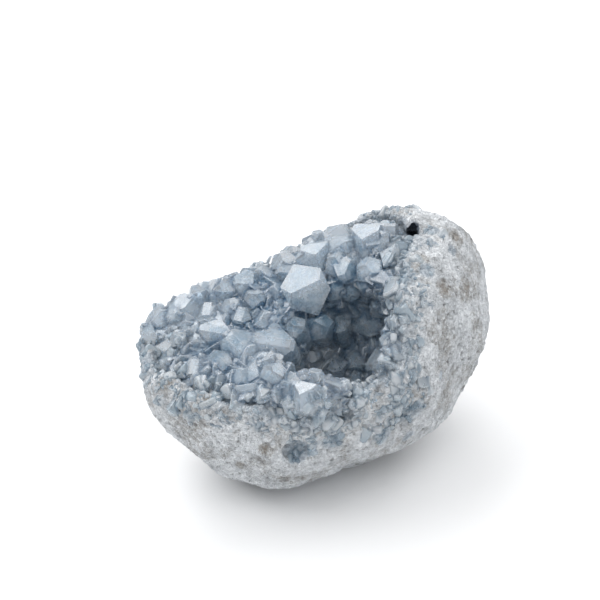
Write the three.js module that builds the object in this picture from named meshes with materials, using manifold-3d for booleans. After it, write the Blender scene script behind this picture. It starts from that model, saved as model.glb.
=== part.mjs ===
// A celestite geode: a stone nodule lying on its side, broken open along its upper slope, with a
// hollow lined by pale blue crystals. Millimetres, +Z up. The long axis lies along X and the fat,
// unbroken end is at +X. The nodule stands on a small worn flat at Z = 0.
import * as THREE from "three";
import { ConvexGeometry } from "three/addons/geometries/ConvexGeometry.js";
import { mergeVertices } from "three/addons/utils/BufferGeometryUtils.js";
import Module from "manifold-3d";

const wasm = await Module();
wasm.setup();

const DEGREE = Math.PI / 180;

// Directions are a bearing, turned from +X towards +Y, and a rise above the horizontal, in degrees.
const NODULE = {
  centre: [0, 0, 40],
  halfLengths: [62, 40, 41],
  swells: [
    { name: "brow of the fat end", bearing: 0, rise: 40, height: 9, spread: 22 },
    { name: "flat back", bearing: 75, rise: 42, height: -5, spread: 24 },
    { name: "back of the small end", bearing: 122, rise: 34, height: -2.5, spread: 18 },
    { name: "waist under the fat end", bearing: -32, rise: -2, height: -5, spread: 20 },
    { name: "foot", bearing: 214, rise: -50, height: 3, spread: 18 },
    { name: "notch beside the foot", bearing: 256, rise: -54, height: -5, spread: 17 },
    { name: "flank of the small end", bearing: 192, rise: -12, height: -6, spread: 20 },
    { name: "nose of the small end", bearing: 160, rise: 28, height: 11, spread: 15 },
  ],
};

// The lumps of the stone's surface: waves along these directions, as wavelength and height.
const LUMPS = [
  { along: [1, 0.4, 0.7], wavelength: 27, height: 0.7 },
  { along: [-0.5, 1, 0.3], wavelength: 23, height: 0.6 },
  { along: [0.2, -0.6, 1], wavelength: 19, height: 0.5 },
  { along: [1, 0.9, -0.5], wavelength: 14, height: 0.35 },
  { along: [-0.8, 0.5, 1], wavelength: 12, height: 0.3 },
];

// The break faces this way, this far from the nodule's centre, and its edge is worn round.
const BREAK = { bearing: 190, rise: 71, distance: 26.5, worn: 5, leastFacing: 0.1 };

// The rind is the stone outside the crystals, a hair's gap from them. Its mouth, where they show, is
// a wide cone of directions: the edge is this many degrees from the axis, and the rind thins over the
// last ones. The bed that the crystals stand on lies this far below the broken face, and the
// headroom is how far above it they may reach.
const RIND = { thickness: 6, gap: 0.3, bed: 3 };
const MOUTH = {
  bearing: 215,
  rise: 63,
  halfAngle: 58,
  fade: 11,
  headroom: 5,
  lobes: [
    { name: "dip in the near edge", bearing: 242, rise: 0, height: 8, spread: 14 },
    { name: "corner beside the dip", bearing: 280, rise: 18, height: 9, spread: 14 },
    { name: "small end", bearing: 156, rise: 12, height: 14, spread: 18 },
    { name: "back of the small end", bearing: 128, rise: 24, height: 10, spread: 18 },
    { name: "right side", bearing: 300, rise: 50, height: -7, spread: 16 },
    { name: "brow", bearing: 14, rise: 52, height: 9, spread: 14 },
    { name: "back", bearing: 80, rise: 42, height: 17, spread: 34 },
  ],
};

// The hollow among the crystals.
const HOLLOW = {
  centre: [1, -16, 50],
  halfLengths: [18, 16, 25],
  swells: [
    { name: "shallow end", bearing: 182, rise: 18, height: 7, spread: 26 },
    { name: "open mouth", bearing: 205, rise: 62, height: 14, spread: 34 },
    { name: "cave under the fat end", bearing: 35, rise: 5, height: 3, spread: 30 },
    { name: "wall under the brow", bearing: 325, rise: 12, height: -5, spread: 26 },
    { name: "low near rim", bearing: 252, rise: 24, height: 6, spread: 15 },
  ],
};

// Celestine's unit cell, whose edges set the directions of a crystal's faces.
const CELL = { a: 8.36, b: 5.35, c: 6.87 };

// The crystals that show best. Each is a point that ends at its tip and grew in the direction given:
// width and depth across, and length down to the root, which is sunk in the crust. The ridge is how
// far the tip is drawn out into a roof edge, and turn spins the crystal on its axis, in degrees.
const CRYSTALS = [
  { name: "big crystal", tip: [-7, -2.5, 69], bearing: 238, rise: 40, turn: 117,
    width: 14.5, depth: 14, length: 17, ridge: 6 },
  { name: "tall blade", tip: [-9, 23, 63], bearing: 215, rise: 62, turn: 20,
    width: 9, depth: 8, length: 16, ridge: 1 },
  { name: "wedge behind", tip: [-4.5, 17, 69], bearing: 215, rise: 60, turn: 40,
    width: 7, depth: 6, length: 13, ridge: 2 },
  { name: "pale facet", tip: [-6, 10.5, 67], bearing: 230, rise: 40, turn: 0,
    width: 7, depth: 7, length: 14, ridge: -2 },
  { name: "slab behind the big crystal", tip: [1.5, 9.5, 72], bearing: 235, rise: 55, turn: 60,
    width: 9, depth: 8, length: 15, ridge: 2 },
  { name: "right neighbour", tip: [6.5, -0.5, 72.5], bearing: 240, rise: 45, turn: 30,
    width: 8, depth: 8, length: 15, ridge: 3 },
  { name: "white edged", tip: [7.5, -4, 72.5], bearing: 250, rise: 45, turn: -30,
    width: 7, depth: 8, length: 15, ridge: 3 },
  { name: "blue shoulder", tip: [12, -9.5, 73.5], bearing: 230, rise: 40, turn: 45,
    width: 8, depth: 8, length: 14, ridge: 2 },
  { name: "dark point right", tip: [11.5, -9, 67.5], bearing: 230, rise: 30, turn: 0,
    width: 6, depth: 7, length: 12, ridge: 1 },
  { name: "dark point middle", tip: [8, -5, 63.5], bearing: 235, rise: 25, turn: 30,
    width: 6, depth: 6, length: 12, ridge: 1 },
  { name: "dark point left", tip: [3.5, -3.5, 65], bearing: 240, rise: 35, turn: 60,
    width: 6, depth: 6, length: 12, ridge: 1 },
  { name: "big block", tip: [12, -6.5, 50.5], bearing: 225, rise: 15, turn: 80,
    width: 10, depth: 12, length: 14, ridge: 4, blunt: 3 },
  { name: "pale block", tip: [4, -4.5, 53.5], bearing: 225, rise: 60, turn: 30,
    width: 6, depth: 6, length: 15, ridge: 2 },
  { name: "bright triangle", tip: [-5.5, -5.5, 57.5], bearing: 225, rise: 50, turn: 20,
    width: 9, depth: 9, length: 16, ridge: 0 },
  { name: "blue side", tip: [-14, -6.5, 59.5], bearing: 215, rise: 55, turn: 60,
    width: 7, depth: 6, length: 15, ridge: 1 },
  { name: "frosted block left", tip: [-33.5, -5.5, 58.5], bearing: 225, rise: 55, turn: 60,
    width: 11, depth: 12, length: 15, ridge: 4, blunt: 1 },
  { name: "frosted block right", tip: [-24.5, -12, 60], bearing: 225, rise: 55, turn: 90,
    width: 11, depth: 14, length: 15, ridge: 6, blunt: 1 },
  { name: "bright topped", tip: [-19.5, 9, 64], bearing: 215, rise: 60, turn: 100,
    width: 6, depth: 7, length: 14, ridge: 2 },
  { name: "left wedge", tip: [-37, 3, 59.5], bearing: 220, rise: 50, turn: 90,
    width: 8, depth: 13, length: 15, ridge: 5 },
  { name: "rim point", tip: [-25, 20, 64.5], bearing: 180, rise: 70, turn: 30,
    width: 7, depth: 6, length: 13, ridge: 2 },
  { name: "rim block", tip: [-18.5, 19.5, 66], bearing: 120, rise: 65, turn: 70,
    width: 8, depth: 8, length: 12, ridge: 3 },
  { name: "rim shoulder", tip: [-8.5, 27, 62.5], bearing: 110, rise: 65, turn: 20,
    width: 7, depth: 7, length: 12, ridge: 1 },
  { name: "rim wedge", tip: [-33, 25.5, 61.5], bearing: 150, rise: 60, turn: 90,
    width: 6, depth: 7, length: 13, ridge: 2 },
  { name: "rim slab", tip: [-38.5, 24.5, 61], bearing: 150, rise: 55, turn: 90,
    width: 6, depth: 8, length: 13, ridge: 3 },
  { name: "worn end", tip: [-42, 26, 58], bearing: 160, rise: 45, turn: 60,
    width: 9, depth: 9, length: 13, ridge: 2, blunt: 2 },
  { name: "left corner", tip: [-47, 29, 55], bearing: 160, rise: 45, turn: 10,
    width: 9, depth: 9, length: 13, ridge: 2, blunt: 2 },
  { name: "far rim left", tip: [2.5, 24, 67.5], bearing: 90, rise: 65, turn: 20,
    width: 7, depth: 7, length: 13, ridge: 2 },
  { name: "far rim block", tip: [5, 13.5, 75.5], bearing: 90, rise: 65, turn: 60,
    width: 9, depth: 9, length: 13, ridge: 3, blunt: 2 },
  { name: "far rim middle", tip: [13.5, 10.5, 76], bearing: 80, rise: 65, turn: 30,
    width: 10, depth: 9, length: 12, ridge: 3, blunt: 1 },
  { name: "far rim right", tip: [21.5, 7, 80], bearing: 70, rise: 65, turn: 60,
    width: 10, depth: 9, length: 13, ridge: 4, blunt: 1 },
  { name: "far rim end", tip: [27.5, 6, 80], bearing: 60, rise: 60, turn: 20,
    width: 8, depth: 8, length: 12, ridge: 2, blunt: 2 },
  { name: "upper ledge", tip: [21, -2, 76.5], bearing: 240, rise: 60, turn: -30,
    width: 6, depth: 15, length: 13, ridge: 7 },
  { name: "lower ledge", tip: [20.5, -9, 76], bearing: 240, rise: 55, turn: -30,
    width: 6, depth: 13, length: 13, ridge: 6 },
  { name: "floor left", tip: [2.5, -5, 40], bearing: 230, rise: 70, turn: 20,
    width: 7, depth: 7, length: 12, ridge: 2 },
  { name: "floor right", tip: [9, -7, 40], bearing: 220, rise: 60, turn: 60,
    width: 6, depth: 7, length: 12, ridge: 2 },
  { name: "floor front", tip: [7, -9, 35], bearing: 210, rise: 70, turn: 0,
    width: 7, depth: 8, length: 12, ridge: 2 },
  { name: "near rim slab", tip: [-24.5, -36, 58], bearing: 60, rise: 75, turn: 60,
    width: 8, depth: 12, length: 14, ridge: 5 },
  { name: "near rim tooth", tip: [-18, -38, 54.5], bearing: 80, rise: 70, turn: 20,
    width: 5, depth: 6, length: 13, ridge: 1 },
  { name: "near rim bump", tip: [-11, -36, 48.5], bearing: 90, rise: 60, turn: 60,
    width: 6, depth: 7, length: 10, ridge: 2, blunt: 1 },
  { name: "near rim lump", tip: [-2.5, -36.5, 50.5], bearing: 70, rise: 65, turn: 60,
    width: 7, depth: 9, length: 13, ridge: 3, blunt: 1 },
  { name: "blue under the frost", tip: [-31, -24, 58.5], bearing: 230, rise: 60, turn: 20,
    width: 7, depth: 7, length: 13, ridge: 1 },
  { name: "near left point", tip: [-29.5, -33, 50.5], bearing: 235, rise: 40, turn: 60,
    width: 6, depth: 7, length: 11, ridge: 2 },
  { name: "smooth lump", tip: [-23, -36, 48.5], bearing: 240, rise: 45, turn: 20,
    width: 7, depth: 7, length: 10, ridge: 2, blunt: 2 },
  { name: "frost foot", tip: [-38.5, -18, 55], bearing: 225, rise: 50, turn: 10,
    width: 6, depth: 6, length: 12, ridge: 2 },
  { name: "bed block", tip: [-32, 17.5, 58.5], bearing: 210, rise: 65, turn: 20,
    width: 9, depth: 8, length: 12, ridge: 2, blunt: 1 },
  { name: "bed slab", tip: [-39.5, 18, 56], bearing: 200, rise: 65, turn: 70,
    width: 9, depth: 9, length: 12, ridge: 3, blunt: 2 },
  { name: "bed foot", tip: [-41, -7, 55], bearing: 225, rise: 50, turn: 60,
    width: 8, depth: 8, length: 12, ridge: 3, blunt: 1 },
  { name: "bed corner", tip: [-47.5, -3, 53], bearing: 215, rise: 50, turn: 10,
    width: 7, depth: 7, length: 12, ridge: 2, blunt: 1 },
  { name: "left blade", tip: [-46, 11, 55.5], bearing: 205, rise: 60, turn: 80,
    width: 5, depth: 8, length: 14, ridge: 2 },
  { name: "bright chip", tip: [-26.5, 11.5, 61.5], bearing: 215, rise: 65, turn: 30,
    width: 6, depth: 6, length: 13, ridge: 2 },
  { name: "round blue", tip: [-26, 6.5, 60.5], bearing: 220, rise: 60, turn: 0,
    width: 6, depth: 6, length: 13, ridge: 2, blunt: 1 },
  { name: "right rim lobe", tip: [16, -13, 62], bearing: 190, rise: 45, turn: 60,
    width: 7, depth: 8, length: 12, ridge: 2, blunt: 2 },
  { name: "right rim lump", tip: [15, -14.5, 41], bearing: 180, rise: 40, turn: 20,
    width: 6, depth: 8, length: 12, ridge: 2, blunt: 2 },
];

// Smaller crystals fill the lining between them, where the mouth is this open or the lining is cut
// this deep: their sizes, the distance between tips, and how far each leans from the lining's own
// normal and towards the mouth's axis, as shares of the normal.
const FILLERS = {
  openness: 0.6,
  cutBelow: 1,
  count: 24,
  tries: 2500,
  spacing: 6.5,
  width: [6, 10],
  standing: [3, 5.5],
  tilt: 0.5,
  uneven: [0.8, 1.2],
  root: 3,
  towardMouth: 0.3,
  seed: 7,
};

// Pits in the stone: how far across from the middle, and how deep.
const VUGS = [
  { name: "pit beside the brow", bearing: 355, rise: 49, across: 2.8, deep: 3 },
  { name: "gap in the near edge", bearing: 250, rise: 5, across: 3.4, deep: 7 },
  { name: "vug low on the right", bearing: 281, rise: -8, across: 4.2, deep: 2.5 },
  { name: "round vug", bearing: 231, rise: -10, across: 5, deep: 2.2 },
];

// The stone stands on a worn flat at this height, before the origin is moved there.
const BASE = { floor: 1, room: 200 };

const vector = (x, y, z) => new THREE.Vector3(x, y, z);

// A unit vector from a bearing and a rise.
function toward(bearing, rise) {
  const level = Math.cos(rise * DEGREE);
  return vector(
    Math.cos(bearing * DEGREE) * level,
    Math.sin(bearing * DEGREE) * level,
    Math.sin(rise * DEGREE),
  );
}

function degreesBetween(a, b) {
  return Math.acos(THREE.MathUtils.clamp(a.dot(b), -1, 1)) / DEGREE;
}

// The sum of the swells at a direction, each a round bump whose height falls off with angle.
function swelling(swells, direction) {
  let sum = 0;
  for (const swell of swells) {
    const angle = degreesBetween(direction, toward(swell.bearing, swell.rise));
    sum += swell.height * Math.exp(-0.5 * (angle / swell.spread) ** 2);
  }
  return sum;
}

// A swollen ellipsoid's reach from its centre in one direction.
function blobReach(blob, direction) {
  const [a, b, c] = blob.halfLengths;
  const ellipsoid = 1 / vector(direction.x / a, direction.y / b, direction.z / c).length();
  return ellipsoid + swelling(blob.swells, direction);
}

// How far the stone's lumps raise or lower its surface at a point.
function lumpiness(point) {
  let sum = 0;
  for (const { along, wavelength, height } of LUMPS) {
    const axis = vector(...along).normalize();
    sum += height * Math.sin((2 * Math.PI * point.dot(axis)) / wavelength + along[2]);
  }
  return sum;
}

// The smaller of two values, rounded off where they are closer than the blend.
function smoothMinimum(a, b, blend) {
  const h = Math.max(blend - Math.abs(a - b), 0) / blend;
  return Math.min(a, b) - (h * h * h * blend) / 6;
}

const breakAxis = toward(BREAK.bearing, BREAK.rise);
const mouthAxis = toward(MOUTH.bearing, MOUTH.rise);

// The stone's own outer surface: the nodule cut by the break. A direction that hardly faces the
// break misses it.
function brokenReach(direction) {
  const whole = blobReach(NODULE, direction);
  const facing = direction.dot(breakAxis);
  const missed = facing < BREAK.leastFacing;
  const broken = missed ? whole : smoothMinimum(whole, BREAK.distance / facing, BREAK.worn);
  return broken + lumpiness(direction.clone().multiplyScalar(broken));
}

// How far inside the mouth of the rind a direction is: 0 outside it, 1 well inside.
function openness(direction) {
  const edge = MOUTH.halfAngle + swelling(MOUTH.lobes, direction);
  return THREE.MathUtils.smoothstep(edge - degreesBetween(direction, mouthAxis), 0, MOUTH.fade);
}

// The rind's inner face. In the mouth it lies outside the stone, to leave room for the crystals.
function rindInnerReach(direction) {
  const depth = THREE.MathUtils.lerp(RIND.thickness, -MOUTH.headroom, openness(direction));
  return brokenReach(direction) - depth;
}

// A closed skin round a centre, from its reach in each direction.
function skin(centre, reach, detail) {
  const sphere = new THREE.IcosahedronGeometry(1, detail);
  sphere.deleteAttribute("normal");
  sphere.deleteAttribute("uv");
  const geometry = mergeVertices(sphere, 1e-5);
  const position = geometry.getAttribute("position");
  const direction = vector(0, 0, 0);
  for (let i = 0; i < position.count; i++) {
    direction.fromBufferAttribute(position, i).normalize();
    const r = reach(direction);
    position.setXYZ(i, r * direction.x, r * direction.y, r * direction.z);
  }
  return solidOf(geometry.translate(...centre));
}

// A closed geometry as a solid that can be joined and cut.
function solidOf(geometry) {
  const bare = geometry.clone();
  bare.deleteAttribute("normal");
  bare.deleteAttribute("uv");
  const merged = mergeVertices(bare, 1e-4);
  return new wasm.Manifold(
    new wasm.Mesh({
      numProp: 3,
      vertProperties: new Float32Array(merged.getAttribute("position").array),
      triVerts: new Uint32Array(merged.index.array),
    }),
  );
}

// A solid as a named mesh.
function meshOf(solid, name, material) {
  const made = solid.getMesh();
  const geometry = new THREE.BufferGeometry();
  geometry.setAttribute("position", new THREE.BufferAttribute(made.vertProperties, 3));
  geometry.setIndex(new THREE.BufferAttribute(made.triVerts, 1));
  geometry.computeVertexNormals();
  const mesh = new THREE.Mesh(geometry, material);
  mesh.name = name;
  return mesh;
}

// A small repeatable random number source.
function dice(seed) {
  let state = seed;
  return () => {
    state = (Math.imul(state, 1664525) + 1013904223) >>> 0;
    return state / 4294967296;
  };
}

// A face's outward normal from its Miller indices. The crystal grows along its a axis, here local z.
function faceNormal(h, k, l) {
  return vector(k / CELL.b, l / CELL.c, h / CELL.a).normalize();
}

// The faces of one crystal whose point is at the local origin, each as a normal and a distance.
// The uneven values, about 1, push single faces in or out, as no two grow alike.
function crystalFaces({ width, depth, length, ridge = 0, blunt = 0, uneven = [1, 1, 1, 1] }) {
  const faces = [];
  const add = (h, k, l, offset) => faces.push({ normal: faceNormal(h, k, l), offset });
  const half = width * 0.5;
  add(0, 1, 1, half * uneven[0]);
  add(0, 1, -1, half * uneven[1]);
  add(0, -1, 1, half * uneven[2]);
  add(0, -1, -1, half * uneven[3]);
  if (depth) {
    add(0, 0, 1, depth * 0.5);
    add(0, 0, -1, depth * 0.5);
  }
  const roof = Math.max(-ridge, 0);
  const ends = Math.max(ridge, 0);
  add(2, 1, 0, faceNormal(2, 1, 0).z * roof);
  add(2, -1, 0, faceNormal(2, -1, 0).z * roof * uneven[3]);
  add(1, 0, 1, faceNormal(1, 0, 1).z * ends);
  add(1, 0, -1, faceNormal(1, 0, -1).z * ends * uneven[0]);
  if (blunt > 0) faces.push({ normal: vector(0, 0, 1), offset: -blunt });
  faces.push({ normal: vector(0, 0, -1), offset: length });
  return faces;
}

// The corners where three faces meet, inside all the others.
function cornersOf(faces) {
  const corners = [];
  for (let i = 0; i < faces.length; i++) {
    for (let j = i + 1; j < faces.length; j++) {
      for (let k = j + 1; k < faces.length; k++) {
        const [a, b, c] = [faces[i], faces[j], faces[k]];
        const bc = b.normal.clone().cross(c.normal);
        const volume = a.normal.dot(bc);
        if (Math.abs(volume) < 1e-6) continue;
        const corner = bc.multiplyScalar(a.offset)
          .addScaledVector(c.normal.clone().cross(a.normal), b.offset)
          .addScaledVector(a.normal.clone().cross(b.normal), c.offset)
          .divideScalar(volume);
        const inside = faces.every((face) => face.normal.dot(corner) < face.offset + 1e-5);
        const fresh = corners.every((other) => other.distanceTo(corner) > 1e-3);
        if (inside && fresh) corners.push(corner);
      }
    }
  }
  return corners;
}

// The crust without its crystals, a little under the broken face where it is open.
function liningReach(direction) {
  return Math.min(rindInnerReach(direction) - 2 * RIND.gap, brokenReach(direction) - RIND.bed);
}

// Points spread over the open part of the lining, each with the way the surface faces there.
function liningSpots(lining, random) {
  const made = lining.getMesh();
  const corner = (i) => {
    const start = 3 * made.triVerts[i];
    return vector(...made.vertProperties.slice(start, start + 3));
  };
  const triangle = new THREE.Triangle();
  const facets = [];
  let area = 0;
  for (let i = 0; i < made.triVerts.length; i += 3) {
    triangle.set(corner(i), corner(i + 1), corner(i + 2));
    const middle = triangle.getMidpoint(vector(0, 0, 0));
    const outward = middle.clone().sub(vector(...NODULE.centre));
    const reach = outward.length();
    const inHollow = reach < liningReach(outward.normalize()) - FILLERS.cutBelow;
    const open = inHollow || openness(outward) > FILLERS.openness;
    if (!open) continue;
    area += triangle.getArea();
    facets.push({ triangle: triangle.clone(), upTo: area });
  }
  return () => {
    const wanted = random() * area;
    const facet = facets.find((candidate) => candidate.upTo >= wanted).triangle;
    const along = Math.sqrt(random());
    const across = random();
    const point = facet.a.clone().multiplyScalar(1 - along)
      .addScaledVector(facet.b, along * (1 - across))
      .addScaledVector(facet.c, along * across);
    return { point, normal: facet.getNormal(vector(0, 0, 0)) };
  };
}

// Small crystals at random spots of the lining, none too close to another's tip.
function fillerCrystals(lining) {
  const random = dice(FILLERS.seed);
  const between = ([low, high]) => low + (high - low) * random();
  const leaning = () => between([-FILLERS.tilt, FILLERS.tilt]);
  const spot = liningSpots(lining, random);
  const taken = CRYSTALS.map((placed) => vector(...placed.tip));
  const fillers = [];
  for (let tries = 0; tries < FILLERS.tries && fillers.length < FILLERS.count; tries++) {
    const { point, normal } = spot();
    const lean = vector(leaning(), leaning(), leaning());
    const growth = normal.addScaledVector(mouthAxis, FILLERS.towardMouth).add(lean).normalize();
    const standing = between(FILLERS.standing);
    const tip = point.addScaledVector(growth, standing);
    const width = between(FILLERS.width);
    const turn = between([0, 180]);
    const uneven = [0, 1, 2, 3].map(() => between(FILLERS.uneven));
    if (taken.some((other) => other.distanceTo(tip) < FILLERS.spacing)) continue;
    taken.push(tip);
    fillers.push({ tip, growth, turn, width, length: standing + FILLERS.root, uneven });
  }
  return fillers;
}

// A crystal that stands at a place and grew in a direction.
function crystal(placed) {
  const growth = placed.growth ?? toward(placed.bearing, placed.rise);
  const level = vector(0, 0, 1).cross(growth).normalize();
  const turned = level.applyAxisAngle(growth, placed.turn * DEGREE);
  const basis = new THREE.Matrix4().makeBasis(turned, growth.clone().cross(turned), growth);
  basis.setPosition(...placed.tip);
  return solidOf(new ConvexGeometry(cornersOf(crystalFaces(placed))).applyMatrix4(basis));
}

// One closed body: the crust without chips that touch nothing or gaps that nothing reaches.
function soundBody(solid) {
  return solid.decompose().reduce((best, body) => (body.volume() > best.volume() ? body : best));
}

// The ball that cuts a pit into the stone's surface.
function vug({ bearing, rise, across, deep }) {
  const direction = toward(bearing, rise);
  const ball = new THREE.IcosahedronGeometry(1, 1).scale(across, across, deep);
  const facing = new THREE.Quaternion().setFromUnitVectors(vector(0, 0, 1), direction);
  const place = direction.clone().multiplyScalar(brokenReach(direction)).add(vector(...NODULE.centre));
  return solidOf(ball.applyQuaternion(facing).translate(place.x, place.y, place.z));
}

const outside = skin(NODULE.centre, brokenReach, 9);
const crystalRoom = skin(NODULE.centre, rindInnerReach, 6);
const crystalLimit = skin(NODULE.centre, (d) => rindInnerReach(d) - RIND.gap, 6);
const hollow = skin(HOLLOW.centre, (d) => blobReach(HOLLOW, d), 3);
const ground = solidOf(
  new THREE.BoxGeometry(BASE.room, BASE.room, BASE.room).translate(0, 0, -BASE.room / 2 + BASE.floor),
);

const lining = skin(NODULE.centre, liningReach, 6).subtract(hollow);
let crust = lining;
for (const placed of [...CRYSTALS, ...fillerCrystals(lining)]) crust = crust.add(crystal(placed));
crust = crust.intersect(crystalLimit);
let rind = outside.subtract(crystalRoom).subtract(ground);
for (const pit of VUGS.map(vug)) {
  rind = rind.subtract(pit);
  crust = crust.subtract(pit);
}

const rindMaterial = new THREE.MeshStandardMaterial({ color: 0xc9ccd0, roughness: 0.9 });
const crystalMaterial = new THREE.MeshStandardMaterial({ color: 0x9fb2c6, roughness: 0.3 });
const stone = new THREE.Group();
stone.add(meshOf(soundBody(rind), "stone_rind", rindMaterial));
stone.add(meshOf(soundBody(crust), "crystal_crust", crystalMaterial));

// The origin is the middle of the floor under the stone.
const box = new THREE.Box3().setFromObject(stone);
const middle = box.getCenter(vector(0, 0, 0));
stone.position.set(-middle.x, -middle.y, -box.min.z);
const part = new THREE.Group();
part.add(stone);
export default part;
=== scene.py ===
"""The looks of a celestite geode: granular pale rock round a hollow of clear, steel-blue crystals.

Run in Blender 4.5 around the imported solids. Metres, +Z up, the stone's long axis along X.
"""
import itertools
import math
import random
from collections import namedtuple

import bmesh
import bpy
import numpy as np
from bpy.props import FloatProperty, FloatVectorProperty, IntProperty, PointerProperty
from mathutils import Matrix, Vector, noise
from mathutils.bvhtree import BVHTree


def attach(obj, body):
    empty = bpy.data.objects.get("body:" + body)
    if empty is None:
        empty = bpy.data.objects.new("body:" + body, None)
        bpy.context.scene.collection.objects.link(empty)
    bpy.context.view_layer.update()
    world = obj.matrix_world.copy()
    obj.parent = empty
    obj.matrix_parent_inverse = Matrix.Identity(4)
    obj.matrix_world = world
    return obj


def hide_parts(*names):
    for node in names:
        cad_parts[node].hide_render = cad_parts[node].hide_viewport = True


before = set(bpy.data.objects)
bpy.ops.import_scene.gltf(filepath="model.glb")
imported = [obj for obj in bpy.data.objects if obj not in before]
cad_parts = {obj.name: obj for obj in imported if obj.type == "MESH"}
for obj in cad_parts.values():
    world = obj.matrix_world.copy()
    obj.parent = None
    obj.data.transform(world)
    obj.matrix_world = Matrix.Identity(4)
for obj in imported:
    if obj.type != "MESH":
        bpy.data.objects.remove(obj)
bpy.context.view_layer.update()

bl_info = {
    "name": "Celestite geode",
    "version": (1, 0, 0),
    "blender": (4, 5, 0),
    "location": "3D View > Sidebar > Geode",
    "description": "Grows the rock and the crystals of a celestite geode on its solids",
    "category": "Add Mesh",
}

MM = 0.001

# Corners of a solid's triangles that lie closer than this are one corner.
MERGE = 0.002 * MM

# The rock's edge is rounded where it is thinner than this.
THIN = 1.2 * MM

# A face of the crust, or of the rind, is covered where the other solid lies over it closer than this.
COVER_OVER_CRUST = 4 * MM
COVER_OVER_RIND = 1 * MM

# Bends between two faces, above 0 outwards. A sharp edge and a crevice, in the clear crystals and in
# the frosted ones, bend by more than these, and faces of one crystal, one plane or the low ground
# by no more.
SHARP_EDGE = math.radians(20)
CREVICE = math.radians(40)
FROSTED_CREVICE = math.radians(30)
SAME_CRYSTAL = math.radians(-6)
SAME_PLANE = math.radians(5)
LOW_GROUND = math.radians(-25)

# The middle of the stone. Places on its skin are given by the direction from here.
MIDDLE = Vector((-1.6, 0.9, 39.0)) * MM

# Far outside the skin, as a distance from the middle.
OUTSIDE = 0.2

# The deep part of the hollow, and how far it reaches: there the clear crystals are painted paler, as painted
# light.
PAINTED_LIGHT_IN_HOLLOW = {"middle": Vector((8, -15, 42)) * MM, "reach": 19 * MM}

# A round patch of the skin: the bearing from +X towards +Y and the rise of its middle in degrees, how
# far it reaches, and how deep a dent it is.
Patch = namedtuple("Patch", "name bearing rise radius depth", defaults=(0.0,))

# Bluish, half-clear patches of the rock.
BLUE_PATCHES = (
    Patch("brow", 357, 52, 9 * MM),
    Patch("right of the mouth", 314, 51, 5.5 * MM),
    Patch("right shoulder", 321, 46, 4 * MM),
    Patch("behind the shoulder", 349, 46, 3.5 * MM),
    Patch("top of the right end", 340, 39, 3 * MM),
    Patch("vug low on the right", 286, -7, 7 * MM),
    Patch("under the vug", 271, -13, 4.5 * MM),
    Patch("foot below the vug", 289, -23, 3.5 * MM),
    Patch("speck on the right", 303, 6, 2.4 * MM),
    Patch("speck under the rim", 279, 17, 2.4 * MM),
    Patch("left end", 167, 7, 7 * MM),
    Patch("round vug", 230, -12, 6.5 * MM),
    Patch("under the gap", 245, -8, 5 * MM),
    Patch("low on the back", 80, 5, 8 * MM),
    Patch("high on the back", 120, 30, 6 * MM),
)

# Brown stains and dirty pits.
STAINS = (
    Patch("brown stain at the left edge", 190, 13, 3.2 * MM),
    Patch("left of it", 181, 9, 3.5 * MM),
    Patch("below it", 198, 9, 2.6 * MM),
    Patch("right shoulder", 321, 36, 4.5 * MM),
    Patch("right end", 331, 27, 5 * MM),
    Patch("top of the right end", 348, 38, 4 * MM),
    Patch("pitted spot low in front", 218, -9, 3 * MM),
    Patch("foot in front", 207, -20, 2.5 * MM),
    Patch("back of the small end", 140, 10, 6 * MM),
    Patch("middle of the back", 95, -12, 7 * MM),
)

# The pit beside the brow, its radii, and how far its painted shade reaches; no frosted crystal stands within
# that reach.
PIT = {"middle": Vector((33.7, 0.7, 75.1)) * MM, "radii": Vector((3.2, 2.6, 2.8)) * MM, "reach": 5 * MM}

# Dents in the rock's outside.
DENTS = (
    Patch("round vug", 229, -12, 6 * MM, 2.2 * MM),
    Patch("vug low on the right", 285, -9, 7 * MM, 2.2 * MM),
    Patch("dent under the near rim", 202, 3, 5 * MM, 1.2 * MM),
    Patch("dent low in front", 216, -16, 4 * MM, 1.0 * MM),
    Patch("dent on the right end", 332, 22, 5 * MM, 0.9 * MM),
)

# Where pale frosted crystals cover the rock.
FROSTED_PATCHES = (
    Patch("left end", 158, 8, 8 * MM),
    Patch("left corner of the near rim", 176, 9, 9 * MM),
    Patch("near rim on the left", 191, 8, 9 * MM),
    Patch("near rim", 205, 7, 9 * MM),
    Patch("right of its middle", 219, 6, 10 * MM),
    Patch("above the round vug", 233, 0, 9 * MM),
    Patch("beside the gap", 246, -1, 8 * MM),
    Patch("low on the right", 266, 3, 13 * MM),
    Patch("right of that", 282, 4, 11 * MM),
    Patch("near right rim", 283, 22, 11 * MM),
    Patch("right rim", 302, 43, 9 * MM),
    Patch("under the brow", 320, 57, 7 * MM),
    Patch("brow", 355, 57, 10 * MM),
    Patch("far rim", 15, 55, 9 * MM),
    Patch("vug low on the right", 286, -7, 5 * MM),
    Patch("round vug", 230, -12, 4.5 * MM),
)

# Where small frosted crystals cover the clear ones.
CRUSTED = (
    Patch("slab on the near rim", 240, 18, 9 * MM),
    Patch("left corner", 165, 14, 7 * MM),
)

# Where frost dulls the clear crystals.
FROST = (
    Patch("blocks on the left", 208, 27, 9 * MM),
    Patch("beside them", 222, 33, 9 * MM),
    Patch("slab on the near rim", 237, 24, 9 * MM),
    Patch("in front of it", 236, 11, 9 * MM),
    Patch("left of the far rim", 80, 55, 16 * MM),
    Patch("middle of the far rim", 50, 60, 17 * MM),
    Patch("far rim", 15, 55, 16 * MM),
    Patch("small end", 155, 20, 16 * MM),
)

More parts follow.
